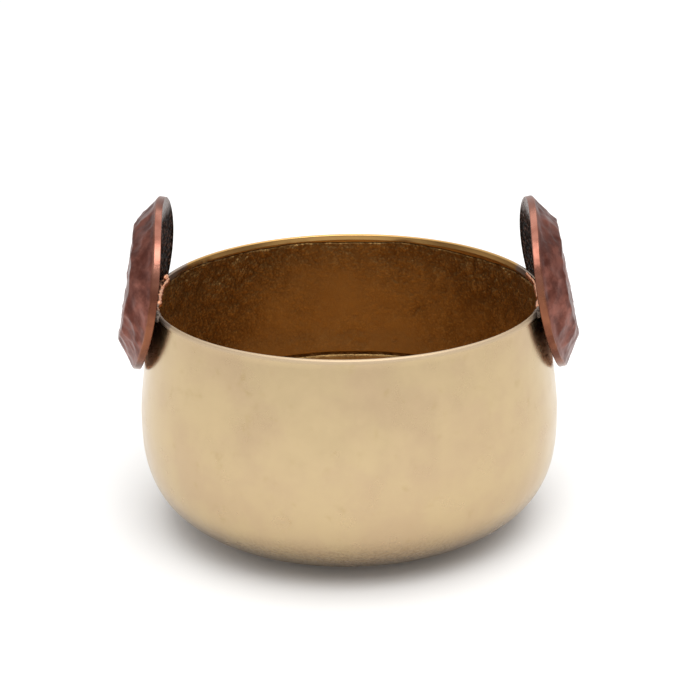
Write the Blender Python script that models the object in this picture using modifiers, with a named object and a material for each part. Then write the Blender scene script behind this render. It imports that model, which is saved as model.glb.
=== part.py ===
"""Round-bellied cast brass bowl with two thick bevelled copper discs brazed to its rim as handles.

Units are metres and +Z is up. The origin is the centre of the flat that the bowl stands on, and
the two handles lie on the X axis, left at -X and right at +X.
"""

import math

import bmesh
import bpy
from mathutils import Vector

# Bowl: outer form
BELLY_RADIUS = 0.130
BELLY_HEIGHT = 0.0723
RIM_RADIUS = 0.1205
BOWL_HEIGHT = 0.1472
FOOT_RADIUS = 0.035
BELLY_FULLNESS = 2.96
SHOULDER_SOFTNESS = 0.15

# Bowl: wall, rim edge and the joint between the two castings
FLOOR_WALL = 0.0050
RIM_WALL = 0.0038
RIM_OUTER_ROUND = 0.0014
RIM_INNER_ROUND = 0.0010
SEAM_HEIGHT = 0.059
GROOVE_DEPTH = 0.0020
GROOVE_HALF_WIDTH = 0.0017
BRAZE_CROWN = 0.0003

# Handle discs
DISC_RADIUS = 0.0536
DISC_FACE_RADIUS = 0.0379
DISC_EDGE = 0.0048
DISC_THICKNESS = 0.0159
DISC_BEND_RADIUS = 0.196
DISC_ARRIS = 0.0005
LEFT_HANDLE = {"side": -1, "height": 0.1546, "lean": math.radians(10.5), "offset": -0.002}
RIGHT_HANDLE = {"side": 1, "height": 0.1508, "lean": math.radians(11.9), "offset": 0.002}

# Weld bead between each disc and the rim
BEAD_RADIUS = 0.0031
BEAD_HALF_SPREAD = math.radians(24.5)
BEAD_INSET = 0.0002
BEAD_LIFT = 0.0003
BEAD_LUMP = 0.16

# Clearance between pieces that touch, and how finely round shapes are divided
GAP = 0.0003
BOWL_STEPS = 72
DISC_STEPS = 56
LOWER_CURVE_STEPS = 10
UPPER_CURVE_STEPS = 8
ROUND_STEPS = 3
BEAD_STATIONS = 29
MERGE = 0.00001


def clear_scene():
    for old in list(bpy.data.objects):
        bpy.data.objects.remove(old, do_unlink=True)


def new_collection(name):
    collection = bpy.data.collections.new(name)
    bpy.context.scene.collection.children.link(collection)
    return collection


def metal(name, colour, roughness):
    material = bpy.data.materials.new(name)
    material.use_nodes = True
    shader = material.node_tree.nodes["Principled BSDF"]
    shader.inputs["Base Color"].default_value = (*colour, 1.0)
    shader.inputs["Metallic"].default_value = 1.0
    shader.inputs["Roughness"].default_value = roughness
    return material


def datum(name, location, rotation, collection, parent=None):
    """An empty that other objects are placed from."""
    empty = bpy.data.objects.new(name, None)
    empty.location = location
    empty.rotation_euler = rotation
    empty.empty_display_size = 0.02
    empty.parent = parent
    collection.objects.link(empty)
    return empty


# The bowl's outer curve. `along` runs 0 at the foot, 1 at the belly and 2 at the rim.


def outer_point(along):
    """(radius, height) on the outer curve: a superellipse below the belly, a soft cone above."""
    if along < 1:
        turn = along * math.pi / 2
        power = BELLY_FULLNESS
        size = (math.cos(turn) ** power + math.sin(turn) ** power) ** (1 / power)
        radius = FOOT_RADIUS + (BELLY_RADIUS - FOOT_RADIUS) * math.sin(turn) / size
        return Vector((radius, BELLY_HEIGHT * (1 - math.cos(turn) / size)))
    rise = along - 1
    soft = SHOULDER_SOFTNESS
    lean = (math.hypot(rise, soft) - soft) / (math.hypot(1, soft) - soft)
    radius = BELLY_RADIUS - (BELLY_RADIUS - RIM_RADIUS) * lean
    return Vector((radius, BELLY_HEIGHT + (BOWL_HEIGHT - BELLY_HEIGHT) * rise))


def outward(along):
    """Unit normal of the outer curve, pointing out of the metal."""
    step = 0.001
    tangent = outer_point(min(along + step, 2)) - outer_point(max(along - step, 0))
    return Vector((tangent.y, -tangent.x)).normalized()


def wall(along):
    """Thickness of the casting, which thins evenly from the floor to the rim."""
    return FLOOR_WALL + (RIM_WALL - FLOOR_WALL) * along / 2


def wall_point(along, depth):
    """(radius, height) at a depth below the outer surface."""
    return outer_point(along) - outward(along) * depth


def along_at_height(height):
    """Inverse of outer_point for a height, by halving."""
    low, high = 0.0, 2.0
    for _ in range(40):
        middle = (low + high) / 2
        if outer_point(middle).y < height:
            low = middle
        else:
            high = middle
    return (low + high) / 2


def spaced(first, last, steps):
    return [first + (last - first) * i / steps for i in range(steps + 1)]


def rounded_corner(before, corner, after, radius):
    """Points of the arc that rounds a corner of an outline."""
    back = (before - corner).normalized()
    ahead = (after - corner).normalized()
    half = back.angle(ahead) / 2
    centre = corner + (back + ahead).normalized() * radius / math.sin(half)
    start = corner + back * radius / math.tan(half) - centre
    end = corner + ahead * radius / math.tan(half) - centre
    shares = spaced(0, 1, ROUND_STEPS)
    return [centre + start.lerp(end, share).normalized() * radius for share in shares]


def rim_edge(grow):
    """The rounded top edge of the wall, from the inner side over to the outer side."""
    top = BOWL_HEIGHT + grow
    outer = outer_point(2) + outward(2) * grow
    inner = wall_point(2, wall(2) + grow)
    slope = outer_point(2) - outer_point(1.99)
    outer_corner = outer + slope * ((top - outer.y) / slope.y)
    inner_corner = inner + slope * ((top - inner.y) / slope.y)
    below_inner = inner_corner - slope
    below_outer = outer_corner - slope
    inner_arc = rounded_corner(below_inner, inner_corner, outer_corner, RIM_INNER_ROUND)
    outer_arc = rounded_corner(inner_corner, outer_corner, below_outer, RIM_OUTER_ROUND + grow)
    return inner_arc + outer_arc


def wall_ring_profile(start, steps, grow):
    """Closed section of the wall from `start` up to the rim, made larger all round by `grow`."""
    rim_start = 2 - 0.035
    inner = [wall_point(a, wall(a) + grow) for a in spaced(start, rim_start, steps)]
    outer = [wall_point(a, -grow) for a in spaced(rim_start, start, steps)]
    return inner + rim_edge(grow) + outer


def seam_halves():
    """The joint line, and how far it lies from each casting's end and from the groove's edges."""
    seam = along_at_height(SEAM_HEIGHT)
    per_metre = (along_at_height(SEAM_HEIGHT + 0.001) - seam) / 0.001
    return seam, per_metre * GAP / 2, per_metre * GROOVE_HALF_WIDTH


def upper_wall_profile():
    seam, half_gap, half_groove = seam_halves()
    end = seam + half_gap
    root = wall_point(end, wall(end) - GROOVE_DEPTH)
    section = wall_ring_profile(end, UPPER_CURVE_STEPS, 0)
    section[0] = wall_point(seam + half_groove, wall(seam))
    return [root] + section


def lower_bowl_profile():
    """Section from the middle of the floor, up the inside, over the joint and down to the foot."""
    seam, half_gap, half_groove = seam_halves()
    end = seam - half_gap
    inner = [wall_point(a, wall(a)) for a in spaced(0, seam - half_groove, LOWER_CURVE_STEPS)]
    outer = [outer_point(a) for a in spaced(end, 0, LOWER_CURVE_STEPS)]
    root = wall_point(end, wall(end) - GROOVE_DEPTH)
    floor_middle = Vector((0, inner[0].y))
    foot_middle = Vector((0, 0))
    return [floor_middle] + inner + [root] + outer + [foot_middle]


def braze_profile():
    """Closed kite section that fills the groove and stands a little proud of the inner wall."""
    seam = seam_halves()[0]
    depth = wall(seam)
    half_angle = math.atan2(GROOVE_HALF_WIDTH - GAP / 2, GROOVE_DEPTH)
    root_depth = depth - GROOVE_DEPTH + GAP / math.sin(half_angle)
    half_width = GROOVE_HALF_WIDTH - GAP / math.cos(half_angle)
    up = Vector((-outward(seam).y, outward(seam).x))
    mouth = wall_point(seam, depth)
    crown = wall_point(seam, depth + BRAZE_CROWN)
    return [mouth + up * half_width, wall_point(seam, root_depth), mouth - up * half_width, crown]


def turned(name, profile, closed, steps, collection, material=None):
    """A profile of (radius, height) points turned about Z with a Screw modifier."""
    count = len(profile)
    edges = [(i, i + 1) for i in range(count - 1)]
    if closed:
        edges.append((count - 1, 0))
    mesh = bpy.data.meshes.new(name)
    mesh.from_pydata([(point.x, 0, point.y) for point in profile], edges, [])
    if material:
        mesh.materials.append(material)
    obj = bpy.data.objects.new(name, mesh)
    collection.objects.link(obj)
    screw = obj.modifiers.new("turn", "SCREW")
    screw.axis = "Z"
    screw.angle = 2 * math.pi
    screw.steps = steps
    screw.render_steps = steps
    screw.use_merge_vertices = True
    screw.merge_threshold = MERGE
    screw.use_smooth_shade = True
    return obj


def baked_mesh(obj):
    """The object's evaluated mesh, with its loose caps and poles joined up."""
    bpy.context.view_layer.update()
    evaluated = obj.evaluated_get(bpy.context.evaluated_depsgraph_get())
    mesh = bpy.data.meshes.new_from_object(evaluated)
    work = bmesh.new()
    work.from_mesh(mesh)
    bmesh.ops.remove_doubles(work, verts=work.verts, dist=MERGE)
    work.to_mesh(mesh)
    work.free()
    return mesh


def disc_profile(grow):
    """Half section of a disc: outer face, bevel, edge and back, along its own axis."""
    bevel = Vector((DISC_RADIUS - DISC_FACE_RADIUS, DISC_EDGE - DISC_THICKNESS)).normalized()
    spread = grow * math.tan((math.pi / 2 - math.atan2(-bevel.y, bevel.x)) / 2)
    rise = grow * math.tan(math.atan2(-bevel.y, bevel.x) / 2)
    face_radius = DISC_FACE_RADIUS + rise
    edge_top = DISC_EDGE + spread
    radius = DISC_RADIUS + grow
    top = DISC_THICKNESS + grow
    face = [Vector((face_radius * share, top)) for share in spaced(0, 1, 3)]
    back = [Vector((radius * share, -grow)) for share in spaced(1, 0, 4)]
    return face + [Vector((radius, edge_top))] + back


def bent_disc(name, collection, grow, material=None):
    """A bevelled disc, bent round an axis parallel to its own X so that it wraps the bowl."""
    blank = turned(name + "_blank", disc_profile(grow), False, DISC_STEPS, collection, material)
    mesh = baked_mesh(blank)
    bpy.data.objects.remove(blank, do_unlink=True)
    mesh.name = name
    for vertex in mesh.vertices:
        vertex.co.z -= vertex.co.y**2 / (2 * DISC_BEND_RADIUS)
    disc = bpy.data.objects.new(name, mesh)
    collection.objects.link(disc)
    return disc


def seat_distance(handle):
    """How far out the back of a disc sits, so that it just clears the wall it leans against."""
    slope = math.tan(handle["lean"])
    lowest = handle["height"] - DISC_RADIUS * math.cos(handle["lean"])
    reach = 0
    for height in spaced(lowest, BOWL_HEIGHT, 60):
        wall_radius = outer_point(along_at_height(height)).x
        reach = max(reach, wall_radius - (handle["height"] - height) * slope)
    return reach + GAP / math.cos(handle["lean"])


def handle_seat(name, handle, collection, parent):
    """Datum at the middle of a disc's back: its local Z points out of the bowl."""
    side = handle["side"]
    location = (side * seat_distance(handle), handle["offset"], handle["height"])
    rotation = (0, side * (math.pi / 2 - handle["lean"]), 0)
    return datum(name, location, rotation, collection, parent)


def handle_disc(name, seat, collection, material):
    disc = bent_disc(name, collection, 0, material)
    disc.parent = seat
    bevel = disc.modifiers.new("arris", "BEVEL")
    bevel.width = DISC_ARRIS
    bevel.segments = 1
    bevel.limit_method = "ANGLE"
    bevel.angle_limit = math.radians(30)
    disc.data.shade_smooth()
    disc.data.set_sharp_from_angle(angle=math.radians(30))
    return disc


def bead_curve(name, handle, collection):
    """A tube of uneven thickness that follows the rim where a disc meets it."""
    curve = bpy.data.curves.new(name, "CURVE")
    curve.dimensions = "3D"
    curve.bevel_depth = BEAD_RADIUS
    curve.bevel_resolution = 2
    curve.use_fill_caps = True
    spline = curve.splines.new("POLY")
    spline.points.add(BEAD_STATIONS - 1)
    path_radius = RIM_RADIUS - BEAD_INSET
    for i, share in enumerate(spaced(-1, 1, BEAD_STATIONS - 1)):
        turn = share * BEAD_HALF_SPREAD
        x = handle["side"] * path_radius * math.cos(turn)
        y = path_radius * math.sin(turn)
        spline.points[i].co = (x, y, BOWL_HEIGHT + BEAD_LIFT, 1)
        lump = math.sin(11 * share + handle["side"]) * math.cos(17 * share)
        taper = 1 - 0.35 * abs(share) ** 3
        spline.points[i].radius = taper * (1 + BEAD_LUMP * lump)
    obj = bpy.data.objects.new(name, curve)
    collection.objects.link(obj)
    return obj


def cut(obj, cutter):
    boolean = obj.modifiers.new("clear_" + cutter.name, "BOOLEAN")
    boolean.operation = "DIFFERENCE"
    boolean.solver = "EXACT"
    boolean.object = cutter


def as_cutter(obj):
    obj.hide_render = True
    obj.display_type = "WIRE"
    return obj


def rim_weld(name, handle, seat, rim_cutter, parts, cutters, material):
    """The bead, cut back so that it clears both the rim and the disc it joins."""
    path = bead_curve(name + "_path", handle, parts)
    mesh = baked_mesh(path)
    mesh.name = name
    bead = bpy.data.objects.new(name, mesh)
    bead.matrix_world = path.matrix_world
    bpy.data.objects.remove(path, do_unlink=True)
    parts.objects.link(bead)
    mesh.materials.append(material)
    disc_cutter = as_cutter(bent_disc(name + "_disc_cutter", cutters, GAP))
    disc_cutter.parent = seat
    cut(bead, rim_cutter)
    cut(bead, disc_cutter)
    return bead


def main():
    clear_scene()
    parts = new_collection("hammered_copper_handled_bowl")
    cutters = new_collection("cutters")
    brass = metal("polished_cast_brass", (0.66, 0.50, 0.29), 0.32)
    filler = metal("brass_braze", (0.33, 0.21, 0.09), 0.55)
    copper = metal("hammered_copper", (0.36, 0.15, 0.11), 0.38)
    bead = metal("copper_weld", (0.58, 0.29, 0.20), 0.42)

    stand = datum("stand", (0, 0, 0), (0, 0, 0), parts)
    bowl = [
        turned("lower_bowl", lower_bowl_profile(), False, BOWL_STEPS, parts, brass),
        turned("upper_wall", upper_wall_profile(), True, BOWL_STEPS, parts, brass),
        turned("belly_seam_braze", braze_profile(), True, BOWL_STEPS, parts, filler),
    ]
    for piece in bowl:
        piece.parent = stand
    rim_section = wall_ring_profile(1.7, 2, GAP)
    rim_cutter = as_cutter(turned("rim_cutter", rim_section, True, BOWL_STEPS, cutters))

    for label, handle in (("left", LEFT_HANDLE), ("right", RIGHT_HANDLE)):
        seat = handle_seat("handle_seat_" + label, handle, parts, stand)
        handle_disc("handle_disc_" + label, seat, parts, copper)
        rim_weld("rim_weld_" + label, handle, seat, rim_cutter, parts, cutters, bead)


main()
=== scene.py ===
"""Looks of the cast brass bowl with hammered copper disc handles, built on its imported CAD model.

Metres, +Z up, front at -Y. Every surface is a grid of points worked out from the same driving
sizes as the CAD, then moved by small amounts of casting grain, dents or waviness.
"""

import math

import bmesh
import bpy
import numpy as np
from mathutils import Matrix, Vector


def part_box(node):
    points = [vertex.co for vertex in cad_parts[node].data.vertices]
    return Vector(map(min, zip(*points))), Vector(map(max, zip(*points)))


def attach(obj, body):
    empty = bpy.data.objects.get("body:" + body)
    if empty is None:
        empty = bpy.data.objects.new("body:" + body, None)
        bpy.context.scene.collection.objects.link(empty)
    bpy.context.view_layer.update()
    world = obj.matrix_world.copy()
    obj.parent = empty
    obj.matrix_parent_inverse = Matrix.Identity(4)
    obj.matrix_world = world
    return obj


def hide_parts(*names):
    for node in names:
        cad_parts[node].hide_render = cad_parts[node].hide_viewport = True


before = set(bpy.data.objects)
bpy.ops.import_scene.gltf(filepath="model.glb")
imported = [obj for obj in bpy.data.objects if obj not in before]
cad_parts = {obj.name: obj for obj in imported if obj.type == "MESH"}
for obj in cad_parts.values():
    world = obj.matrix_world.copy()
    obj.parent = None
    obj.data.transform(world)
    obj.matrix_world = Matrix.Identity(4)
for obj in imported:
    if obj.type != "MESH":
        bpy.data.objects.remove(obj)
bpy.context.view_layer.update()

# Sizes read from the frame
WALL_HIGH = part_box("upper_wall")[1]
BRAZE_LOW, BRAZE_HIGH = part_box("belly_seam_braze")
BELLY_RADIUS = WALL_HIGH.x
BOWL_HEIGHT = WALL_HIGH.z
SEAM_HEIGHT = (BRAZE_LOW.z + BRAZE_HIGH.z) / 2
GROOVE_HALF_WIDTH = (BRAZE_HIGH.z - BRAZE_LOW.z) / 2

# The bowl's outer curve and wall, as in the CAD, and the depth of the groove at its joint
BELLY_HEIGHT = 0.0723
RIM_RADIUS = 0.1205
FOOT_RADIUS = 0.035
BELLY_FULLNESS = 2.96
SHOULDER_SOFTNESS = 0.15
FLOOR_WALL = 0.0050
RIM_WALL = 0.0038
RIM_OUTER_ROUND = 0.0014
RIM_INNER_ROUND = 0.0010
GROOVE_DEPTH = 0.0019

# The discs, as in the CAD
DISC_RADIUS = 0.0536
DISC_THICKNESS = 0.0159
DISC_BEND_RADIUS = 0.196
SEAT_GAP = 0.0003
HANDLES = {
    "left": {"side": -1, "height": 0.1546, "lean": math.radians(10.5), "offset": -0.002},
    "right": {"side": 1, "height": 0.1508, "lean": math.radians(11.9), "offset": 0.002},
}

# The buffed lip, and how far down the outside the cream of the painted rim sheen reaches
LIP_HEIGHT = 0.0040
LIP_WANDER = 0.0011
LIP_FLARE = 0.0013
LIP_GROOVE = 0.00045
LIP_GROOVE_WIDTH = 0.00055
PAINTED_SHEEN_FROM = BOWL_HEIGHT - 0.0022

# Grain of the casting, and waviness of the polished outside
CAST_LUMPS = 0.0006325
CAST_GRAIN = 0.00069
PIT_SPACING = 0.019
PIT_DEPTH = 0.0007
RELIEF_RANGE = 0.0014
SEAM_WANDER = 0.0007
GROOVE_SHADE_REACH = 0.0017
BRAZE_RELIEF = 0.00028
BRAZE_SUNK = 0.0003
OUTER_WAVE = 0.00022
OUTER_PEEL = 0.00004

# The discs as hammered: the radius of each flat face, the dents, the skin and the corners
FACE_RADIUS = {"left": 0.0374, "right": 0.0359}
DISC_SEEDS = {"left": 101, "right": 211}
DENT_SPACING = 0.0108
DENT_DEPTH = 0.0015
DENT_RADIUS = 0.0074
DENT_CREST = 12
ROW_SHARE = 0.87
PLANISH = 0.00012
BACK_GRAIN = 0.00065
BACK_WAVE = 0.00016
EDGE_SHOWN = 0.0042
EDGE_ROUND = 0.0010
CROWN_ROUND = 0.0022
HEEL_ROUND = 0.0005
EDGE_WAVE = 0.00010

# The welds, and their runs beside each disc: from and to along Y, how far in from the rim's
# outer edge, half the width, how far the top stands above the rim, and how raw the metal is left
WELD_SEEDS = {"left": 17, "right": 29}
LUMP_SPACING = 0.0021
LUMP_JITTER = 0.00022
RIPPLE = 0.00004
RAW_RIPPLE = 0.00022
WELD_RUNS = {
    "left": [
        (0.0480, 0.0360, 0.0000, 0.0008, -0.0030, 1.0),
        (0.0316, 0.0306, 0.0018, 0.0021, 0.0022, 0.0),
        (0.0285, 0.0260, 0.0044, 0.0009, 0.0008, 0.0),
        (0.0240, 0.0170, 0.0048, 0.0014, 0.0012, 0.0),
        (0.0150, 0.0120, 0.0048, 0.0011, 0.0007, 0.0),
        (0.0100, -0.0180, 0.0045, 0.0024, 0.0016, 0.0),
        (0.0220, -0.0200, 0.0030, 0.0019, 0.0009, 0.0),
        (0.0240, -0.0200, 0.0014, 0.0016, 0.0008, 0.2),
        (-0.0220, -0.0300, 0.0026, 0.0014, 0.0004, 0.6),
        (-0.0310, -0.0420, 0.0017, 0.0017, 0.0002, 1.0),
    ],
    "right": [
        (0.0480, 0.0330, 0.0000, 0.0008, -0.0030, 1.0),
        (0.0300, 0.0080, 0.0038, 0.0010, 0.0008, 0.0),
        (0.0300, 0.0080, 0.0010, 0.0011, -0.0004, 0.9),
        (0.0060, -0.0140, 0.0037, 0.0022, 0.0015, 0.0),
        (-0.0150, -0.0310, 0.0026, 0.0019, 0.0013, 0.0),
        (0.0060, -0.0320, 0.0012, 0.0014, 0.0008, 0.2),
        (-0.0340, -0.0420, 0.0017, 0.0017, 0.0002, 1.0),
    ],
}

# Heights between which a finish fades out, going up: painted shade and peel at the base, the
# painted shade and reflection low on a disc's edge, the painted light low on its back, and the
# dull pan inside
PAINTED_FOOT_SHADE_HEIGHTS = (0.012, 0.042)
PEEL_HEIGHTS = (0.020, 0.055)
PAINTED_EDGE_SHADE_HEIGHTS = (0.155, 0.185)
PAINTED_BACK_LIGHT_HEIGHTS = (0.120, 0.145)
DULL_HEIGHTS = (SEAM_HEIGHT - 0.0040, SEAM_HEIGHT - 0.0010)

# Zones of the sections
INSIDE, RIM, OUTSIDE, HIDDEN = range(4)
FRONT, EDGE, BACK = range(3)

# Where along the wall its inner and outer curves meet the rim's rounded corners
INNER_CURVE_END = 1.966
OUTER_CURVE_END = 1.962

# How finely surfaces are divided
BOWL_SEGMENTS = 600
DISC_SEGMENTS = 360
RIM_ARC_STEPS = 7
WALL_SPACING = 0.00112
LIP_SPACING = 0.00040
LIP_SPACING_DOWN_TO = BOWL_HEIGHT - 0.0085
PAN_SPACING = 0.0016
FLOOR_SPACING = 0.0022
FOOT_SPACING = 0.0040
OUTER_SPACING = 0.0030
JOINT_SPACING = 0.0006
JOINT_REACH = 0.0040
HIDDEN_SPACING = 0.0011
BRAZE_SPACING = 0.0005
FACE_SPACING = 0.0009
STRIP_SPACING = 0.0007
BACK_SPACING = 0.0010
POLE_RADIUS = 0.0012
DISC_POLE_RADIUS = 0.0008
WELD_VOXEL = 0.00042
SHARP_ANGLE = math.radians(78)

# The camera: where it looks, how far off it stands, and its small roll
LOOK_HEIGHT = 0.834 * BELLY_RADIUS
CAMERA_DISTANCE = 9 * BELLY_RADIUS
CAMERA_ELEVATION = math.radians(20.5)
CAMERA_ROLL = -0.0134
LENS = 96.8
SHIFT_X = 0.0021

# The studio: brightness all round, and the place, size and power of each softbox
SURROUND = 0.78
FLOOR_HALF = 40.0
SOFTBOXES = {
    "top_softbox": ((0.3, 0.1, 3.0), (4.2, 3.6), 50),
    "front_softbox": ((0.2, -1.6, 2.5), (2.4, 1.5), 34),
}


# Noise over arrays of points


def lattice_values(cell, seed):
    """A repeatable value from -1 to 1 for each whole-number cell."""
    x, y, z = (cell[..., i].astype(np.int64) for i in range(3))
    mixed = (x * 374761393 + y * 668265263 + z * 2147483647 + seed * 974634777) & 0xFFFFFFFF
    mixed = ((mixed ^ (mixed >> 13)) * 1274126177) & 0xFFFFFFFF
    mixed = ((mixed ^ (mixed >> 16)) * 2246822519) & 0xFFFFFFFF
    return ((mixed ^ (mixed >> 15)) & 0xFFFFFF) / float(0x7FFFFF) - 1.0


def smooth_noise(points, size, seed):
    """Value noise from -1 to 1 whose features are about `size` across."""
    scaled = points / size
    cell = np.floor(scaled)
    part = scaled - cell
    fade = part * part * part * (part * (part * 6 - 15) + 10)
    total = np.zeros(points.shape[:-1])
    for corner in np.ndindex(2, 2, 2):
        weight = np.ones(points.shape[:-1])
        for axis, far in enumerate(corner):
            weight = weight * (fade[..., axis] if far else 1 - fade[..., axis])
        total += weight * lattice_values(cell + np.array(corner), seed)
    return total


def layered_noise(points, size, seed, layers=3, falloff=0.55):
    """Several sizes of noise, each half the size of the last and weaker by `falloff`."""
    total, strength, reach = 0, 1.0, 0.0
    for layer in range(layers):
        total = total + strength * smooth_noise(points, size / 2**layer, seed + 31 * layer)
        reach += strength
        strength *= falloff
    return total / reach


def cell_distances(points, size, seed):
    """Distance to the nearest and second nearest of scattered points, one to each cell."""
    scaled = points / size
    cell = np.floor(scaled)
    nearest = np.full(points.shape[:-1], 9.0)
    second = nearest.copy()
    for step in np.ndindex(3, 3, 3):
        home = cell + np.array(step) - 1
        jitter = [lattice_values(home, seed + 7 * axis) for axis in range(3)]
        centre = home + 0.5 + 0.45 * np.stack(jitter, -1)
        distance = np.linalg.norm(scaled - centre, axis=-1)
        second = np.minimum(second, np.maximum(nearest, distance))
        nearest = np.minimum(nearest, distance)
    return nearest * size, second * size


def ring_noise(points, size, seed, falloff):
    """(noise, turn): noise that changes only with the direction round Z, and that direction."""
    turn = np.arctan2(points[..., 1], points[..., 0])
    ring = np.stack([np.cos(turn), np.sin(turn), np.zeros_like(turn)], -1)
    return layered_noise(ring, size, seed, 4, falloff), turn


def ease(value, low, high):
    """0 below `low`, 1 above `high`, and smooth between."""
    share = np.clip((value - low) / (high - low), 0, 1)
    return share * share * (3 - 2 * share)


def bell(value, width):
    """1 where `value` is 0, falling away within about `width` on both sides."""
    return np.exp(-((value / width) ** 2))


# The bowl's section. `along` runs 0 at the foot, 1 at the belly and 2 at the rim.


def outer_point(along):
    """(radius, height) on the outer curve: a superellipse below the belly, a soft cone above."""
    if along < 1:
        turn = along * math.pi / 2
        power = BELLY_FULLNESS
        size = (math.cos(turn) ** power + math.sin(turn) ** power) ** (1 / power)
        radius = FOOT_RADIUS + (BELLY_RADIUS - FOOT_RADIUS) * math.sin(turn) / size
        return Vector((radius, BELLY_HEIGHT * (1 - math.cos(turn) / size)))
    rise = along - 1
    soft = SHOULDER_SOFTNESS
    lean = (math.hypot(rise, soft) - soft) / (math.hypot(1, soft) - soft)
    radius = BELLY_RADIUS - (BELLY_RADIUS - RIM_RADIUS) * lean
    return Vector((radius, BELLY_HEIGHT + (BOWL_HEIGHT - BELLY_HEIGHT) * rise))


def outward(along):
    """Unit normal of the outer curve, pointing out of the metal."""
    step = 0.001
    tangent = outer_point(min(along + step, 2)) - outer_point(max(along - step, 0))
    return Vector((tangent.y, -tangent.x)).normalized()


def wall(along):
    return FLOOR_WALL + (RIM_WALL - FLOOR_WALL) * along / 2


def wall_point(along, depth):
    """(radius, height) at a depth below the outer surface."""
    return outer_point(along) - outward(along) * depth


def along_at_height(height):
    """Inverse of outer_point for a height, by halving."""
    low, high = 0.0, 2.0
    for _ in range(40):
        middle = (low + high) / 2
        if outer_point(middle).y < height:
            low = middle
        else:
            high = middle
    return (low + high) / 2


def spaced(first, last, steps):
    return [first + (last - first) * i / steps for i in range(steps + 1)]


def evened(points, spacing):
    """The same line with its points set at an even distance near `spacing`."""
    line = np.array([tuple(p) for p in points])
    steps = np.linalg.norm(np.diff(line, axis=0), axis=1)
    run = np.concatenate([[0], np.cumsum(steps)])
    count = max(2, round(run[-1] / spacing))
    at = np.linspace(0, run[-1], count + 1)
    return np.stack([np.interp(at, run, line[:, i]) for i in range(2)], -1)


def rounded_corner(before, corner, after, radius, steps):
    """Points of the arc that rounds a corner of an outline."""
    back = (before - corner).normalized()
    ahead = (after - corner).normalized()
    half = back.angle(ahead) / 2
    centre = corner + (back + ahead).normalized() * radius / math.sin(half)
    start = corner + back * radius / math.tan(half) - centre
    end = corner + ahead * radius / math.tan(half) - centre
    shares = spaced(0, 1, steps)
    return [centre + start.lerp(end, share).normalized() * radius for share in shares]


def rim_edge():
    """The rounded top edge of the wall, from the inner side over to the outer side."""
    slope = outer_point(2) - outer_point(1.99)
    inner = wall_point(2, wall(2) - LIP_FLARE)
    outer_corner = outer_point(2)
    inner_corner = inner + slope * ((BOWL_HEIGHT - inner.y) / slope.y)
    inner_arc = rounded_corner(
        inner_corner - slope, inner_corner, outer_corner, RIM_INNER_ROUND, RIM_ARC_STEPS
    )
    outer_arc = rounded_corner(
        inner_corner, outer_corner, outer_corner - slope, RIM_OUTER_ROUND, RIM_ARC_STEPS
    )
    return inner_arc + outer_arc


# Meshes from grids of points


def grid_faces(rows, columns, wrap_rows):
    """Quads between rows of points that each close on themselves."""
    row = np.arange(rows if wrap_rows else rows - 1)[:, None]
    column = np.arange(columns)[None, :]
    below, beside = (row + 1) % rows, (column + 1) % columns
    corners = [row * columns + column, below * columns + column]
    corners += [below * columns + beside, row * columns + beside]
    return np.stack(np.broadcast_arrays(*corners), -1).reshape(-1, 4)


def end_caps(rows, columns):
    """The faces that close the first and the last row of a grid."""
    last = (rows - 1) * columns
    return [list(range(columns))[::-1], list(range(last, last + columns))]


def mesh_object(name, points, faces, fields, material):
    """An object from points, faces and named per-point values that its material reads."""
    mesh = bpy.data.meshes.new(name)
    mesh.from_pydata(points.reshape(-1, 3).tolist(), [], faces)
    for field, values in fields.items():
        attribute = mesh.attributes.new(field, "FLOAT", "POINT")
        attribute.data.foreach_set("value", np.ascontiguousarray(values, np.float32).ravel())
    mesh.materials.append(material)
    mesh.validate()
    mesh.shade_smooth()
    mesh.set_sharp_from_angle(angle=SHARP_ANGLE)
    obj = bpy.data.objects.new(name, mesh)
    bpy.context.scene.collection.objects.link(obj)
    return obj


def turned_points(section, zones, columns):
    """Points and outward normals of a (radius, height) section turned about Z.

    Where the zone changes there is a corner, so a normal looks only along its own zone.
    """
    after, before = np.roll(section, -1, 0), np.roll(section, 1, 0)
    after = np.where((np.roll(zones, -1) == zones)[:, None], after, section)
    before = np.where((np.roll(zones, 1) == zones)[:, None], before, section)
    ahead = after - before
    normal = np.stack([ahead[:, 1], -ahead[:, 0]], -1)
    normal /= np.maximum(np.linalg.norm(normal, axis=1, keepdims=True), 1e-12)
    turn = 2 * math.pi * np.arange(columns) / columns
    cosine, sine = np.cos(turn)[None], np.sin(turn)[None]
    flat = np.ones_like(cosine)

    def spun(values):
        return np.stack([values[:, :1] * cosine, values[:, :1] * sine, values[:, 1:] * flat], -1)

    return spun(section), spun(normal)


def zone_masks(zones, wanted, shape):
    """For each wanted zone, 1 over the rows of the grid that lie in it and 0 elsewhere."""
    rows = [(zones == zone)[:, None] for zone in wanted]
    return [np.broadcast_to(row, shape).astype(float) for row in rows]


# The bowl's surface


def lip_height(points):
    """How far the buffed lip runs down from the rim: it wanders, and is taller on the right."""
    wander, turn = ring_noise(points, 0.35, 5, 0.6)
    return LIP_HEIGHT + LIP_WANDER * (1.6 * wander + 0.5 * np.cos(turn - 0.9))


def grain_strength(points):
    """How rough the casting was left: calm front and back, rough by the discs, rim and floor."""
    sideways = ease(np.abs(points[..., 0]), 0.034, 0.090)
    floor = 1 - ease(points[..., 2], 0.010, 0.048)
    high = ease(points[..., 2], 0.100, 0.138)
    patch = layered_noise(points, 0.032, 19, 3, 0.6)
    strength = 0.16 + 0.60 * np.maximum(sideways, 0.7 * floor) + 0.50 * high + 0.40 * patch
    return np.clip(strength, 0.10, 1.0)


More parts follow.
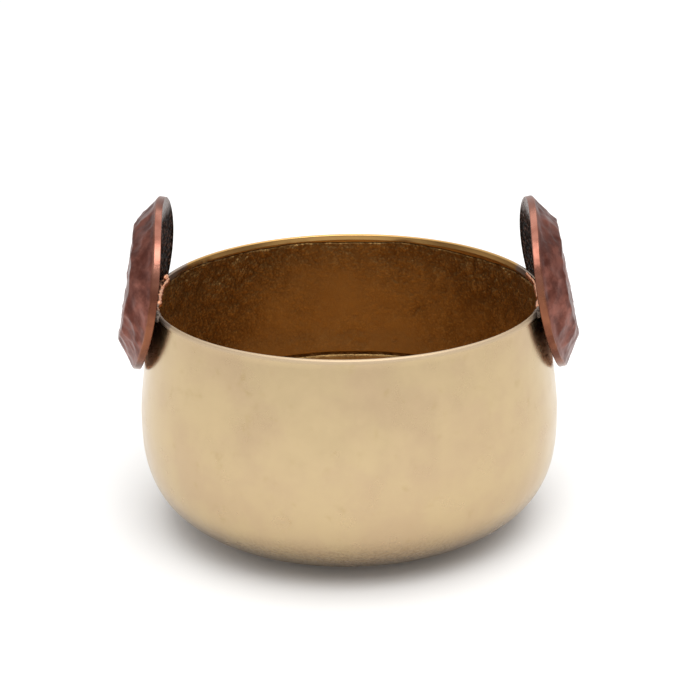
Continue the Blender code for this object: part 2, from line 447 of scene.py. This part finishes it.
def cast_relief(points, patches):
    """Depth of the sand-cast surface, in patches that are rougher or calmer."""
    lumps = layered_noise(points, 0.012, 11, 2, 0.6)
    grain = layered_noise(points, 0.0040, 23, 2, 0.8)
    near, _ = cell_distances(points, PIT_SPACING, 41)
    rare = smooth_noise(np.floor(points / PIT_SPACING) * 0.37, 0.011, 47)
    pits = (1 - ease(near, 0.0004, 0.0017)) * (rare > 0.25)
    return patches * (CAST_LUMPS * lumps + CAST_GRAIN * grain) - PIT_DEPTH * pits


def seam_wander(points, inner):
    """Sideways drift of the joint line, felt only by the inner surface beside it."""
    drift, _ = ring_noise(points, 0.28, 67, 0.65)
    close = 1 - ease(np.abs(points[..., 2] - SEAM_HEIGHT), 0.002, 0.010)
    return SEAM_WANDER * drift * close * inner


def scorch(points):
    """Where the rim beside a disc was left grey and dull by the heat of the welding."""
    beside = ease(np.abs(points[..., 0]), 0.096, 0.112)
    return ease(beside + 0.8 * layered_noise(points, 0.014, 59, 3, 0.6), 0.55, 0.95)


def outer_relief(points):
    """Faint waviness of the polished outside, always inward, with some peel near the base."""
    wave = layered_noise(points, 0.055, 3, 2, 0.5)
    peel = smooth_noise(points, 0.0065, 9)
    low = 1 - ease(points[..., 2], 0.010, 0.050)
    relief = -OUTER_WAVE * (0.5 - 0.5 * wave) + OUTER_PEEL * (0.25 + low) * (peel - 1)
    return relief * ease(points[..., 2], 0.0002, 0.0040)


def bowl_half(name, section, zones, lip, closed, material):
    """One casting. Its section is marked by zone: inside, rim, outside or hidden end."""
    points, normals = turned_points(section, zones, BOWL_SEGMENTS)
    height = points[..., 2]
    inner, rim, outer = zone_masks(zones, (INSIDE, RIM, OUTSIDE), height.shape)
    rough, undercut = inner, np.zeros_like(inner)
    if lip:
        below = BOWL_HEIGHT - height - lip_height(points)
        rough = inner * ease(below, -0.0002, 0.0006)
        undercut = inner * bell(below - 0.0005, LIP_GROOVE_WIDTH)
    patches = grain_strength(points)
    relief = cast_relief(points, patches) * rough - LIP_GROOVE * undercut
    moved = points + normals * (relief + outer_relief(points) * outer)[..., None]
    moved[..., 2] += seam_wander(points, inner)
    # Painted shade: darkening in the groove under the lip and beside the joint
    joint = inner * bell(height - SEAM_HEIGHT, GROOVE_SHADE_REACH)
    # Painted reflection by place: the rim is gold towards the back and cream towards the front
    painted_gold_to_back = ease(points[..., 1], -0.060, 0.050)
    band = outer * ease(height, PAINTED_SHEEN_FROM, PAINTED_SHEEN_FROM + 0.0006)
    fields = {
        "cast": np.maximum(rough, undercut),
        "lip": inner - rough + 0.9 * rim * painted_gold_to_back,
        "buffed_with_painted_sheen": np.maximum(rim, band) * (1 - painted_gold_to_back),
        "relief": 0.5 + relief / RELIEF_RANGE,
        "painted_groove_shade": np.maximum(undercut, joint),
        "grain": patches,
        "scorch": scorch(points) * (1 - outer) * (1 - rough),
    }
    faces = grid_faces(len(section), BOWL_SEGMENTS, closed).tolist()
    if not closed:
        faces += end_caps(len(section), BOWL_SEGMENTS)
    return mesh_object(name, moved, faces, fields, material)


def inner_point(along):
    """(radius, height) on the inner surface, which flares out over the buffed lip."""
    point = wall_point(along, wall(along))
    up_lip = min(max(1 - (BOWL_HEIGHT - point.y) / LIP_HEIGHT, 0), 1)
    return wall_point(along, wall(along) - LIP_FLARE * up_lip**2)


def outer_line(first, last):
    """Points down or up the outside, set close together beside the joint."""
    seam = along_at_height(SEAM_HEIGHT)
    near = along_at_height(SEAM_HEIGHT + math.copysign(JOINT_REACH, first + last - 2 * seam))
    far_part = sorted((first, last), key=lambda along: abs(along - seam))[1]
    away = evened([outer_point(a) for a in spaced(near, far_part, 160)], OUTER_SPACING)
    close = evened([outer_point(a) for a in spaced(seam, near, 20)], JOINT_SPACING)
    line = np.concatenate([close, away[1:]])
    return line if first == seam else line[::-1]


def joined(parts):
    """One section and its zones from (points, zone) parts, turned round to face outward."""
    section = np.concatenate([np.array([tuple(p) for p in points]) for points, _ in parts])
    zones = np.concatenate([np.full(len(points), zone) for points, zone in parts])
    return section[::-1].copy(), zones[::-1].copy()


def upper_wall_section():
    """Closed section of the upper casting, up its inside, over the rim and down its outside."""
    seam = along_at_height(SEAM_HEIGHT)
    start = along_at_height(SEAM_HEIGHT + GROOVE_HALF_WIDTH)
    fine = along_at_height(LIP_SPACING_DOWN_TO)
    root = wall_point(seam, wall(seam) - GROOVE_DEPTH)
    inner_low = evened([inner_point(a) for a in spaced(start, fine, 90)], WALL_SPACING)
    inner_top = evened([inner_point(a) for a in spaced(fine, INNER_CURVE_END, 60)], LIP_SPACING)
    outer = outer_line(OUTER_CURVE_END, seam)
    end = evened([outer[-1], root], HIDDEN_SPACING)[1:]
    inside = [(inner_low[:-1], INSIDE), (inner_top, INSIDE)]
    return joined(inside + [(rim_edge(), RIM), (outer, OUTSIDE), (end, HIDDEN)])


def lower_bowl_section():
    """Section of the lower casting, from the middle of its floor to the middle of its foot."""
    seam = along_at_height(SEAM_HEIGHT)
    start = along_at_height(SEAM_HEIGHT - GROOVE_HALF_WIDTH)
    floor = wall_point(0, wall(0))
    flat = evened([(POLE_RADIUS, floor.y), tuple(floor)], FLOOR_SPACING)[:-1]
    inner = evened([wall_point(a, wall(a)) for a in spaced(0, start, 160)], PAN_SPACING)
    outer = outer_line(seam, 0)
    end = evened([wall_point(seam, wall(seam) - GROOVE_DEPTH), outer[0]], HIDDEN_SPACING)[:-1]
    foot = evened([(FOOT_RADIUS, 0), (POLE_RADIUS, 0)], FOOT_SPACING)[1:]
    return joined(
        [(flat, INSIDE), (inner, INSIDE), (end, HIDDEN), (outer, OUTSIDE), (foot, HIDDEN)]
    )


def seam_bead(name, material):
    """The braze in the groove: a rough ring that lies a little below the walls beside it."""
    seam = along_at_height(SEAM_HEIGHT)
    depth = wall(seam)
    reach = Vector((-outward(seam).y, outward(seam).x)) * GROOVE_HALF_WIDTH
    mouth = wall_point(seam, depth - BRAZE_SUNK)
    root = wall_point(seam, depth - GROOVE_DEPTH)
    corners = [mouth - reach, mouth, mouth + reach, root]
    section = evened(corners, BRAZE_SPACING)[::-1].copy()
    points, normals = turned_points(section, np.zeros(len(section)), BOWL_SEGMENTS)
    relief = BRAZE_RELIEF * (layered_noise(points, 0.004, 71, 3, 0.7) - 0.4)
    moved = points + normals * relief[..., None]
    moved[..., 2] += seam_wander(points, 1.0)
    faces = grid_faces(len(section), BOWL_SEGMENTS, True).tolist()
    return mesh_object(name, moved, faces, {}, material)


# The handle discs, in a local frame with Z out of the bowl


def seat_matrix(handle):
    """Where the middle of a disc's back lies: its distance out just clears the leaning wall."""
    lean, side = handle["lean"], handle["side"]
    slope = math.tan(lean)
    lowest = handle["height"] - DISC_RADIUS * math.cos(lean)
    reach = 0
    for height in spaced(lowest, BOWL_HEIGHT, 60):
        wall_radius = outer_point(along_at_height(height)).x
        reach = max(reach, wall_radius - (handle["height"] - height) * slope)
    reach += SEAT_GAP / math.cos(lean)
    place = Matrix.Translation((side * reach, handle["offset"], handle["height"]))
    return place @ Matrix.Rotation(side * (math.pi / 2 - lean), 4, "Y")


def disc_section(face_radius):
    """Half section of a disc with its corners eased, from the middle of its face to its back."""
    face = Vector((face_radius, DISC_THICKNESS))
    edge_top = Vector((DISC_RADIUS, EDGE_SHOWN))
    edge_low = Vector((DISC_RADIUS, 0))
    middle, back = Vector((DISC_POLE_RADIUS, DISC_THICKNESS)), Vector((DISC_POLE_RADIUS, 0))
    crown = rounded_corner(middle, face, edge_top, CROWN_ROUND, 5)
    arris = rounded_corner(face, edge_top, edge_low, EDGE_ROUND, 5)
    heel = rounded_corner(edge_top, edge_low, back, HEEL_ROUND, 3)
    front = evened([middle] + crown + [arris[0]], FACE_SPACING)
    strip = evened([arris[-1], heel[0]], STRIP_SPACING)
    rear = evened([heel[-1], back], BACK_SPACING)
    arris_points = np.array([tuple(p) for p in arris[1:-1]])
    heel_points = np.array([tuple(p) for p in heel[1:-1]])
    section = np.concatenate([front, arris_points, strip, heel_points, rear])
    counts = [len(front), len(arris_points) + len(strip) + len(heel_points), len(rear)]
    return section[::-1].copy(), np.repeat([FRONT, EDGE, BACK], counts)[::-1].copy()


def dent_field(points, spacing, radius, seed):
    """Depth of overlapping hammer blows on a disc's front, from 0 to about 1."""
    generator = np.random.default_rng(seed)
    reach = DISC_RADIUS + spacing
    rows = round(2 * reach / (spacing * ROW_SHARE))
    depth = np.zeros(points.shape[:-1])
    for row, column in np.ndindex(rows, rows):
        place = ((column + 0.5 * (row % 2)) * spacing, row * spacing * ROW_SHARE)
        x, y = np.array(place) - reach + generator.uniform(-0.42, 0.42, 2) * spacing
        size = radius * generator.uniform(0.75, 1.3)
        strength = generator.uniform(0.35, 1.0)
        stretch = generator.uniform(0.8, 1.25)
        far = np.hypot((points[..., 0] - x) * stretch, (points[..., 1] - y) / stretch)
        dish = np.clip(1 - (far / size) ** 2, 0, 1) * strength
        both = np.exp(DENT_CREST * depth) + np.exp(DENT_CREST * dish)
        depth = np.log(both - 1) / DENT_CREST
    return depth


def hammer_work(points, seed):
    """(dents from 0 to about 1, relief in metres) of a disc's front."""
    large = dent_field(points, DENT_SPACING, DENT_RADIUS, seed)
    small = dent_field(points, 0.6 * DENT_SPACING, 0.6 * DENT_RADIUS, seed + 1)
    dents = 0.8 * large + 0.3 * small
    planish = layered_noise(points, 0.0045, seed + 3, 3, 0.6)
    return dents, DENT_DEPTH * (0.25 - dents) + PLANISH * (planish - 1)


def back_skin(points, upward, seed):
    """(share of scale, crackle from -1 to 0, relief in metres) of a disc's back."""
    near, second = cell_distances(points * np.array((1.0, 0.6, 1.0)), 0.0027, seed + 5)
    crackle = ease(second - near, 0.0, 0.0011) - 1
    level = upward + 0.004 * layered_noise(points, 0.012, seed + 11, 3, 0.6)
    scaled = ease(level, -0.024, -0.008) * (1 - ease(level, 0.030, 0.046))
    scaly = BACK_GRAIN * crackle + BACK_WAVE * (layered_noise(points, 0.008, seed + 7) - 1)
    return scaled, crackle, (0.3 + 0.7 * scaled) * scaly


def disc_object(name, label, material):
    """A hammered disc: dents on its front, a burnished edge, and scaly skin on its back."""
    handle = HANDLES[label]
    seed = DISC_SEEDS[label]
    section, zones = disc_section(FACE_RADIUS[label])
    points, normals = turned_points(section, zones, DISC_SEGMENTS)
    front, edge, back = zone_masks(zones, (FRONT, EDGE, BACK), points.shape[:-1])
    radius = np.hypot(points[..., 0], points[..., 1])
    inside = 1 - 0.8 * ease(radius, DISC_RADIUS - 0.0040, DISC_RADIUS - 0.0008)
    edge_fade = 1 - ease(radius, DISC_RADIUS - 0.0024, DISC_RADIUS - 0.0010)
    dents, blows = hammer_work(points, seed)
    scaled, crackle, skin = back_skin(points, -handle["side"] * points[..., 0], seed)
    ring = smooth_noise(points * np.array((1, 1, 0)), 0.017, seed + 9)
    relief = front * inside * blows + edge * EDGE_WAVE * (ring - 1) + back * edge_fade * skin
    moved = points + normals * relief[..., None]
    moved[..., 2] -= moved[..., 1] ** 2 / (2 * DISC_BEND_RADIUS)
    fields = {
        "burnish": edge + front * ease(radius, DISC_RADIUS - 0.0014, DISC_RADIUS),
        "back": back,
        "scaled": back * scaled,
        "relief": front * dents + back * (1 + crackle),
    }
    faces = grid_faces(len(section), DISC_SEGMENTS, False).tolist()
    faces += end_caps(len(section), DISC_SEGMENTS)
    disc = mesh_object(name, moved, faces, fields, material)
    disc.data.transform(seat_matrix(handle))
    return disc


# The weld beads


def bead_lumps(label):
    """(centre, radii, turn, raw) of the lumps that a bead is run from, along the rim."""
    side = HANDLES[label]["side"]
    generator = np.random.default_rng(WELD_SEEDS[label])
    lumps = []
    for first, last, inset, half_width, top, raw in WELD_RUNS[label]:
        for across in spaced(first, last, max(1, round(abs(last - first) / LUMP_SPACING))):
            gap = across**2 * (0.5 / RIM_RADIUS - 0.5 / DISC_BEND_RADIUS)
            spread = gap / 2 if raw == 1 else 0
            turn = math.asin(across / RIM_RADIUS)
            half_height = 0.0017 + 0.25 * half_width
            radial = RIM_RADIUS - inset + spread + generator.uniform(-1, 1) * LUMP_JITTER
            height = BOWL_HEIGHT + top - half_height + generator.uniform(-1, 1) * LUMP_JITTER
            centre = (radial * math.cos(turn) * side, radial * math.sin(turn), height)
            size = generator.uniform(0.85, 1.15)
            radii = ((half_width + spread) * size, LUMP_SPACING * 1.3, half_height * size)
            lumps.append((centre, radii, turn * side, raw))
    return lumps


def run_together(name, lumps):
    """One mesh skin over all the lumps, with the creases between them relaxed."""
    work = bmesh.new()
    for centre, radii, turn, _ in lumps:
        place = Matrix.Translation(centre) @ Matrix.Rotation(turn, 4, "Z")
        place = place @ Matrix.Diagonal((*radii, 1))
        bmesh.ops.create_icosphere(work, subdivisions=3, radius=1, matrix=place)
    mesh = bpy.data.meshes.new(name)
    work.to_mesh(mesh)
    work.free()
    source = bpy.data.objects.new(name + "_lumps", mesh)
    bpy.context.scene.collection.objects.link(source)
    remesh = source.modifiers.new("run_together", "REMESH")
    remesh.mode = "VOXEL"
    remesh.voxel_size = WELD_VOXEL
    relax = source.modifiers.new("relax", "SMOOTH")
    relax.factor = 0.5
    relax.iterations = 9
    bpy.context.view_layer.update()
    evaluated = source.evaluated_get(bpy.context.evaluated_depsgraph_get())
    skin = bpy.data.meshes.new_from_object(evaluated)
    bpy.data.objects.remove(source, do_unlink=True)
    return skin


def rawness(points, lumps):
    """How raw the metal is at each point, from the lumps near it, with a ragged border."""
    centres = np.array([lump[0] for lump in lumps])
    raws = np.array([lump[3] for lump in lumps])
    far = np.linalg.norm(points[:, None] - centres[None], axis=-1)
    weight = bell(far, LUMP_SPACING) + 1e-9
    raw = (weight * raws).sum(1) / weight.sum(1)
    return ease(raw + 0.35 * smooth_noise(points, 0.0035, 83), 0.25, 0.75)


def weld_object(name, label, material):
    """The lumps run together into one skin, then roughened where the metal was left raw."""
    lumps = bead_lumps(label)
    skin = run_together(name, lumps)
    points, normals = np.zeros((2, len(skin.vertices) * 3))
    skin.vertices.foreach_get("co", points)
    skin.vertices.foreach_get("normal", normals)
    points, normals = points.reshape(-1, 3), normals.reshape(-1, 3)
    raw = rawness(points, lumps)
    ripple = layered_noise(points, 0.0026, 87, 3, 0.7)
    points = points + normals * (ripple * (RIPPLE + RAW_RIPPLE * raw))[:, None]
    skin.vertices.foreach_set("co", points.ravel())
    attribute = skin.attributes.new("raw", "FLOAT", "POINT")
    attribute.data.foreach_set("value", raw.astype(np.float32))
    skin.name = name
    skin.materials.clear()
    skin.materials.append(material)
    skin.shade_smooth()
    obj = bpy.data.objects.new(name, skin)
    bpy.context.scene.collection.objects.link(obj)
    return obj


# Materials


class Recipe:
    """Short calls for adding nodes to one material, which starts as metal."""

    def __init__(self, name):
        self.material = bpy.data.materials.new(name)
        self.material.use_nodes = True
        self.nodes = self.material.node_tree.nodes
        self.links = self.material.node_tree.links
        self.shader = self.nodes["Principled BSDF"]
        self.shader.inputs["Metallic"].default_value = 1.0
        self.place = self.nodes.new("ShaderNodeTexCoord").outputs["Object"]

    def put(self, socket, value):
        """Links an output to a socket, or sets a constant on it."""
        if isinstance(value, bpy.types.NodeSocket):
            self.links.new(value, socket)
        elif isinstance(value, tuple) and len(value) == 3 and socket.type == "RGBA":
            socket.default_value = (*value, 1.0)
        else:
            socket.default_value = value

    def field(self, name):
        node = self.nodes.new("ShaderNodeAttribute")
        node.attribute_name = name
        return node.outputs["Fac"]

    def noise(self, scale, detail=3.0, rough=0.55, stretch=None):
        node = self.nodes.new("ShaderNodeTexNoise")
        node.inputs["Scale"].default_value = scale
        node.inputs["Detail"].default_value = detail
        node.inputs["Roughness"].default_value = rough
        self.put(node.inputs["Vector"], self.stretched(stretch))
        return node.outputs["Fac"]

    def cracks(self, scale, stretch):
        """Distance to the borders between cells, stretched along the axes."""
        node = self.nodes.new("ShaderNodeTexVoronoi")
        node.feature = "DISTANCE_TO_EDGE"
        node.inputs["Scale"].default_value = scale
        self.put(node.inputs["Vector"], self.stretched(stretch))
        return node.outputs["Distance"]

    def grains(self, scale):
        """Distance from the middle of rounded grains that touch each other."""
        node = self.nodes.new("ShaderNodeTexVoronoi")
        node.feature = "SMOOTH_F1"
        node.inputs["Scale"].default_value = scale
        node.inputs["Smoothness"].default_value = 0.35
        self.put(node.inputs["Vector"], self.place)
        return node.outputs["Distance"]

    def below(self, heights):
        """1 below the first height, fading to 0 at the second."""
        node = self.nodes.new("ShaderNodeSeparateXYZ")
        self.put(node.inputs["Vector"], self.place)
        return self.ranged(node.outputs["Z"], *heights, 1.0, 0.0)

    def stretched(self, stretch):
        """Object coordinates, scaled by `stretch` unless it is None."""
        if stretch is None:
            return self.place
        node = self.nodes.new("ShaderNodeMapping")
        node.inputs["Scale"].default_value = stretch
        self.put(node.inputs["Vector"], self.place)
        return node.outputs["Vector"]

    def ranged(self, value, low, high, to_low=0.0, to_high=1.0):
        """Smooth step from `to_low` at `low` to `to_high` at `high`."""
        node = self.nodes.new("ShaderNodeMapRange")
        node.interpolation_type = "SMOOTHSTEP"
        for name, given in (("Value", value), ("From Min", low), ("From Max", high)):
            self.put(node.inputs[name], given)
        self.put(node.inputs["To Min"], to_low)
        self.put(node.inputs["To Max"], to_high)
        return node.outputs["Result"]

    def calc(self, operation, first, second):
        """A Math node, such as ADD or MULTIPLY."""
        node = self.nodes.new("ShaderNodeMath")
        node.operation = operation
        self.put(node.inputs[0], first)
        self.put(node.inputs[1], second)
        return node.outputs["Value"]

    def mix(self, share, first, second):
        """Mixes two colours, which are inputs 6 and 7 of the node and come out at 2."""
        node = self.nodes.new("ShaderNodeMix")
        node.data_type = "RGBA"
        self.put(node.inputs["Factor"], share)
        self.put(node.inputs[6], first)
        self.put(node.inputs[7], second)
        return node.outputs[2]

    def blend(self, share, first, second):
        """Mixes two numbers, which are inputs 2 and 3 of the node and come out at 0."""
        node = self.nodes.new("ShaderNodeMix")
        node.data_type = "FLOAT"
        self.put(node.inputs["Factor"], share)
        self.put(node.inputs[2], first)
        self.put(node.inputs[3], second)
        return node.outputs[0]

    def bump(self, height, distance):
        node = self.nodes.new("ShaderNodeBump")
        node.inputs["Strength"].default_value = 1.0
        node.inputs["Distance"].default_value = distance
        self.put(node.inputs["Height"], height)
        return node.outputs["Normal"]

    def done(self, colour, roughness, normal):
        self.put(self.shader.inputs["Base Color"], colour)
        self.put(self.shader.inputs["Roughness"], roughness)
        self.put(self.shader.inputs["Normal"], normal)
        return self.material


def bowl_brass():
    """Satin polished brass outside and on the lip, brown sand-cast brass where `cast` is 1."""
    r = Recipe("bowl_brass")
    cast = r.field("cast")
    base = r.below(PAINTED_FOOT_SHADE_HEIGHTS)
    foot = r.below(PEEL_HEIGHTS)
    cloud = r.ranged(r.noise(22, 5, 0.6), 0.38, 0.64)
    polished = r.mix(cloud, (0.525, 0.397, 0.229), (0.495, 0.363, 0.219))
    stains = r.ranged(r.noise(110, 4, 0.6), 0.58, 0.80, 0.0, 0.5)
    polished = r.mix(stains, polished, (0.42, 0.305, 0.145))
    # Painted shade: darker brass towards the foot stands for the shaded floor under the bowl seen
    # in reflection
    foot_shade = r.calc("MULTIPLY", base, r.ranged(r.noise(620, 3), 0.42, 0.62, 0.55, 1.0))
    polished = r.mix(foot_shade, polished, (0.17, 0.105, 0.050))
    # Painted reflection: the lip's gold also covers the rim towards the back, and a cream sheen
    # covers the rim and a thin band below it towards the front
    polished = r.mix(r.field("lip"), polished, (0.66, 0.385, 0.128))
    polished = r.mix(r.calc("MULTIPLY", r.field("buffed_with_painted_sheen"), 0.8), polished, (0.60, 0.468, 0.322))
    polished = r.mix(r.field("scorch"), polished, (0.38, 0.295, 0.235))
    grit = r.noise(560, 4, 0.7)
    grains = r.grains(480)
    rough = r.field("grain")
    spots = r.calc("MULTIPLY", r.ranged(grains, 0.1, 0.6, 0.35, -0.35), rough)
    depth = r.ranged(r.calc("ADD", r.field("relief"), spots), 0.0, 1.0)
    sand = r.mix(depth, (0.26, 0.137, 0.042), (0.575, 0.358, 0.136))
    # Lighter crust where the casting is calm, most of all in the back middle: partly wear, partly
    # painted light standing for the front light that falls there
    worn_and_lit = r.mix(depth, (0.45, 0.253, 0.085), (0.62, 0.390, 0.152))
    crust = r.mix(r.ranged(rough, 0.2, 0.85), worn_and_lit, sand)
    patina = r.ranged(r.noise(30, 5, 0.65), 0.3, 0.7, 0.0, 0.35)
    crust = r.mix(patina, crust, (0.41, 0.226, 0.075))
    specks = r.ranged(r.noise(900, 2, 0.6), 0.4, 0.65, 0.0, 0.35)
    crust = r.mix(r.calc("MULTIPLY", specks, rough), crust, (0.20, 0.10, 0.030))
    # Painted shade: near-black crust in the groove under the lip and beside the joint
    crust = r.mix(r.ranged(r.field("painted_groove_shade"), 0.15, 0.9, 0.0, 0.85), crust, (0.05, 0.028, 0.010))
    colour = r.mix(cast, polished, crust)
    polish = r.ranged(r.noise(60, 4), 0.3, 0.7, 0.20, 0.28)
    dull = r.ranged(grit, 0.3, 0.7, 0.34, 0.50)
    dull = r.blend(r.below(DULL_HEIGHTS), dull, 0.60)
    polish = r.blend(r.field("lip"), polish, 0.34)
    polish = r.blend(r.field("buffed_with_painted_sheen"), polish, 0.56)
    roughness = r.blend(cast, polish, dull)
    peel = r.calc("MULTIPLY", r.noise(420, 3, 0.6), r.ranged(foot, 0.0, 1.0, 0.0, 1.10))
    coarse = r.calc("ADD", r.calc("MULTIPLY", grit, 0.7), r.calc("MULTIPLY", grains, -0.9))
    coarse = r.calc("MULTIPLY", coarse, rough)
    height = r.blend(cast, peel, coarse)
    return r.done(colour, roughness, r.bump(height, 0.00055))


def seam_brass():
    """Dull brown braze."""
    r = Recipe("seam_brass")
    relief = r.ranged(r.noise(300, 4, 0.65), 0.3, 0.7)
    colour = r.mix(relief, (0.08, 0.035, 0.008), (0.24, 0.12, 0.035))
    rough = r.ranged(relief, 0, 1, 0.5, 0.7)
    return r.done(colour, rough, r.bump(r.noise(500, 4), 0.0003))


def disc_copper():
    """Hammered copper: brown in the dents, bright on the worked edge, scaly on the back."""
    r = Recipe("disc_copper")
    burnish, back, relief = r.field("burnish"), r.field("back"), r.field("relief")
    scaled = r.field("scaled")
    cloud = r.noise(90, 5, 0.65)
    face = r.mix(r.ranged(cloud, 0.36, 0.66), (0.108, 0.033, 0.023), (0.250, 0.090, 0.065))
    face = r.mix(r.ranged(relief, 0.25, 1.0, 0.0, 0.5), face, (0.090, 0.027, 0.020))
    patch = r.ranged(r.noise(40, 3), 0.35, 0.65)
    edge = r.mix(patch, (0.35, 0.155, 0.112), (0.20, 0.075, 0.052))
    # Painted shade and reflection: the lower part of a disc's edge is darker and more orange,
    # standing for the brass bowl reflected there
    shaded_low_edge = r.mix(patch, (0.25, 0.095, 0.050), (0.13, 0.045, 0.026))
    edge = r.mix(r.below(PAINTED_EDGE_SHADE_HEIGHTS), edge, shaded_low_edge)
    bare = r.mix(r.ranged(cloud, 0.35, 0.65), (0.17, 0.095, 0.072), (0.11, 0.075, 0.062))
    # Painted light: the lower back of a disc, in shade against the wall, is made bright copper so
    # that its reflection in the bowl shows a lit edge
    bare = r.mix(r.below(PAINTED_BACK_LIGHT_HEIGHTS), bare, (0.55, 0.27, 0.17))
    scale_skin = r.mix(r.ranged(relief, 0.35, 1.0), (0.010, 0.0040, 0.002), (0.085, 0.038, 0.024))
    colour = r.mix(burnish, face, edge)
    colour = r.mix(back, colour, r.mix(scaled, bare, scale_skin))
    satin = r.ranged(r.noise(130, 4), 0.3, 0.7, 0.30, 0.44)
    roughness = r.blend(burnish, satin, r.ranged(cloud, 0.3, 0.7, 0.20, 0.29))
    roughness = r.blend(back, roughness, r.blend(scaled, 0.34, 0.52))
    r.shader.inputs["Specular IOR Level"].default_value = 0.03
    r.put(r.shader.inputs["Metallic"], r.calc("SUBTRACT", 1.0, scaled))
    skin = r.calc("MULTIPLY", r.noise(330, 4, 0.6), 0.5)
    lines = r.calc("MULTIPLY", r.noise(90, 2, 0.5, (1, 6, 1)), 0.12)
    scale = r.calc("ADD", r.ranged(r.cracks(430, (1, 0.6, 1)), 0.0, 0.25), skin)
    height = r.blend(back, r.calc("ADD", skin, lines), r.calc("MULTIPLY", scale, 1.6))
    return r.done(colour, roughness, r.bump(height, 0.00020))


def weld_copper():
    """Bright run copper that turns to dull grey, pitted metal where `raw` is 1."""
    r = Recipe("weld_copper")
    raw = r.field("raw")
    cloud = r.noise(260, 4, 0.65)
    bright = r.mix(r.ranged(cloud, 0.35, 0.7), (0.88, 0.45, 0.27), (0.62, 0.26, 0.145))
    dull = r.mix(r.ranged(cloud, 0.35, 0.65), (0.36, 0.28, 0.23), (0.13, 0.095, 0.075))
    colour = r.mix(raw, bright, dull)
    roughness = r.blend(raw, r.ranged(cloud, 0.3, 0.7, 0.26, 0.42), 0.62)
    height = r.blend(raw, r.calc("MULTIPLY", cloud, 0.3), r.noise(700, 4, 0.7))
    return r.done(colour, roughness, r.bump(height, 0.00030))


def floor_white():
    """A matt white floor, with the faintest mottling."""
    r = Recipe("floor_white")
    r.shader.inputs["Metallic"].default_value = 0.0
    r.shader.inputs["Specular IOR Level"].default_value = 0.1
    tone = r.mix(r.noise(6, 3), (0.94, 0.94, 0.94), (0.96, 0.96, 0.955))
    return r.done(tone, 0.9, r.bump(r.noise(300, 2), 0.00002))


# Studio


def area_light(name, place, size, power):
    """A rectangular softbox that faces the middle of the bowl."""
    light = bpy.data.lights.new(name, "AREA")
    light.shape = "RECTANGLE"
    light.size, light.size_y = size
    light.energy = power
    obj = bpy.data.objects.new(name, light)
    bpy.context.scene.collection.objects.link(obj)
    obj.location = place
    aim = Vector((0, 0, BOWL_HEIGHT / 2)) - Vector(place)
    obj.rotation_euler = aim.to_track_quat("-Z", "Y").to_euler()
    obj.visible_camera = False


def studio():
    """White surroundings, the floor and the lights."""
    world = bpy.data.worlds.new("studio")
    bpy.context.scene.world = world
    world.use_nodes = True
    background = world.node_tree.nodes["Background"]
    background.inputs["Color"].default_value = (1, 1, 1, 1)
    background.inputs["Strength"].default_value = SURROUND
    mesh = bpy.data.meshes.new("floor")
    half = FLOOR_HALF
    corners = [(-half, -half, 0), (half, -half, 0), (half, half, 0), (-half, half, 0)]
    mesh.from_pydata(corners, [], [(0, 1, 2, 3)])
    mesh.materials.append(floor_white())
    floor = bpy.data.objects.new("floor", mesh)
    bpy.context.scene.collection.objects.link(floor)
    for name, (place, size, power) in SOFTBOXES.items():
        area_light(name, place, size, power)


def camera():
    """The camera stands in front of the bowl and looks down on its axis."""
    data = bpy.data.cameras.new("camera")
    data.lens = LENS
    data.sensor_width = 36
    data.shift_x = SHIFT_X
    obj = bpy.data.objects.new("camera", data)
    bpy.context.scene.collection.objects.link(obj)
    forward = Vector((0, math.cos(CAMERA_ELEVATION), -math.sin(CAMERA_ELEVATION)))
    obj.location = Vector((0, 0, LOOK_HEIGHT)) - forward * CAMERA_DISTANCE
    turn = forward.to_track_quat("-Z", "Y").to_matrix() @ Matrix.Rotation(CAMERA_ROLL, 3, "Z")
    obj.rotation_euler = turn.to_euler()
    bpy.context.scene.camera = obj


def stand_for(piece, node):
    """The piece takes the place of a CAD node, which is hidden, and hangs from the root body."""
    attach(piece, "root")
    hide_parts(node)


def main():
    camera()
    studio()
    bpy.context.scene.view_settings.view_transform = "Standard"
    brass = bowl_brass()
    section, zones = upper_wall_section()
    upper = bowl_half("upper_wall_cast", section, zones, lip=True, closed=True, material=brass)
    stand_for(upper, "upper_wall")
    section, zones = lower_bowl_section()
    lower = bowl_half("lower_bowl_cast", section, zones, lip=False, closed=False, material=brass)
    stand_for(lower, "lower_bowl")
    stand_for(seam_bead("belly_seam_bead", seam_brass()), "belly_seam_braze")
    copper, bead = disc_copper(), weld_copper()
    for label in HANDLES:
        disc = disc_object("disc_" + label + "_hammered", label, copper)
        stand_for(disc, "handle_disc_" + label)
        weld = weld_object("weld_" + label + "_bead", label, bead)
        stand_for(weld, "rim_weld_" + label)


main()
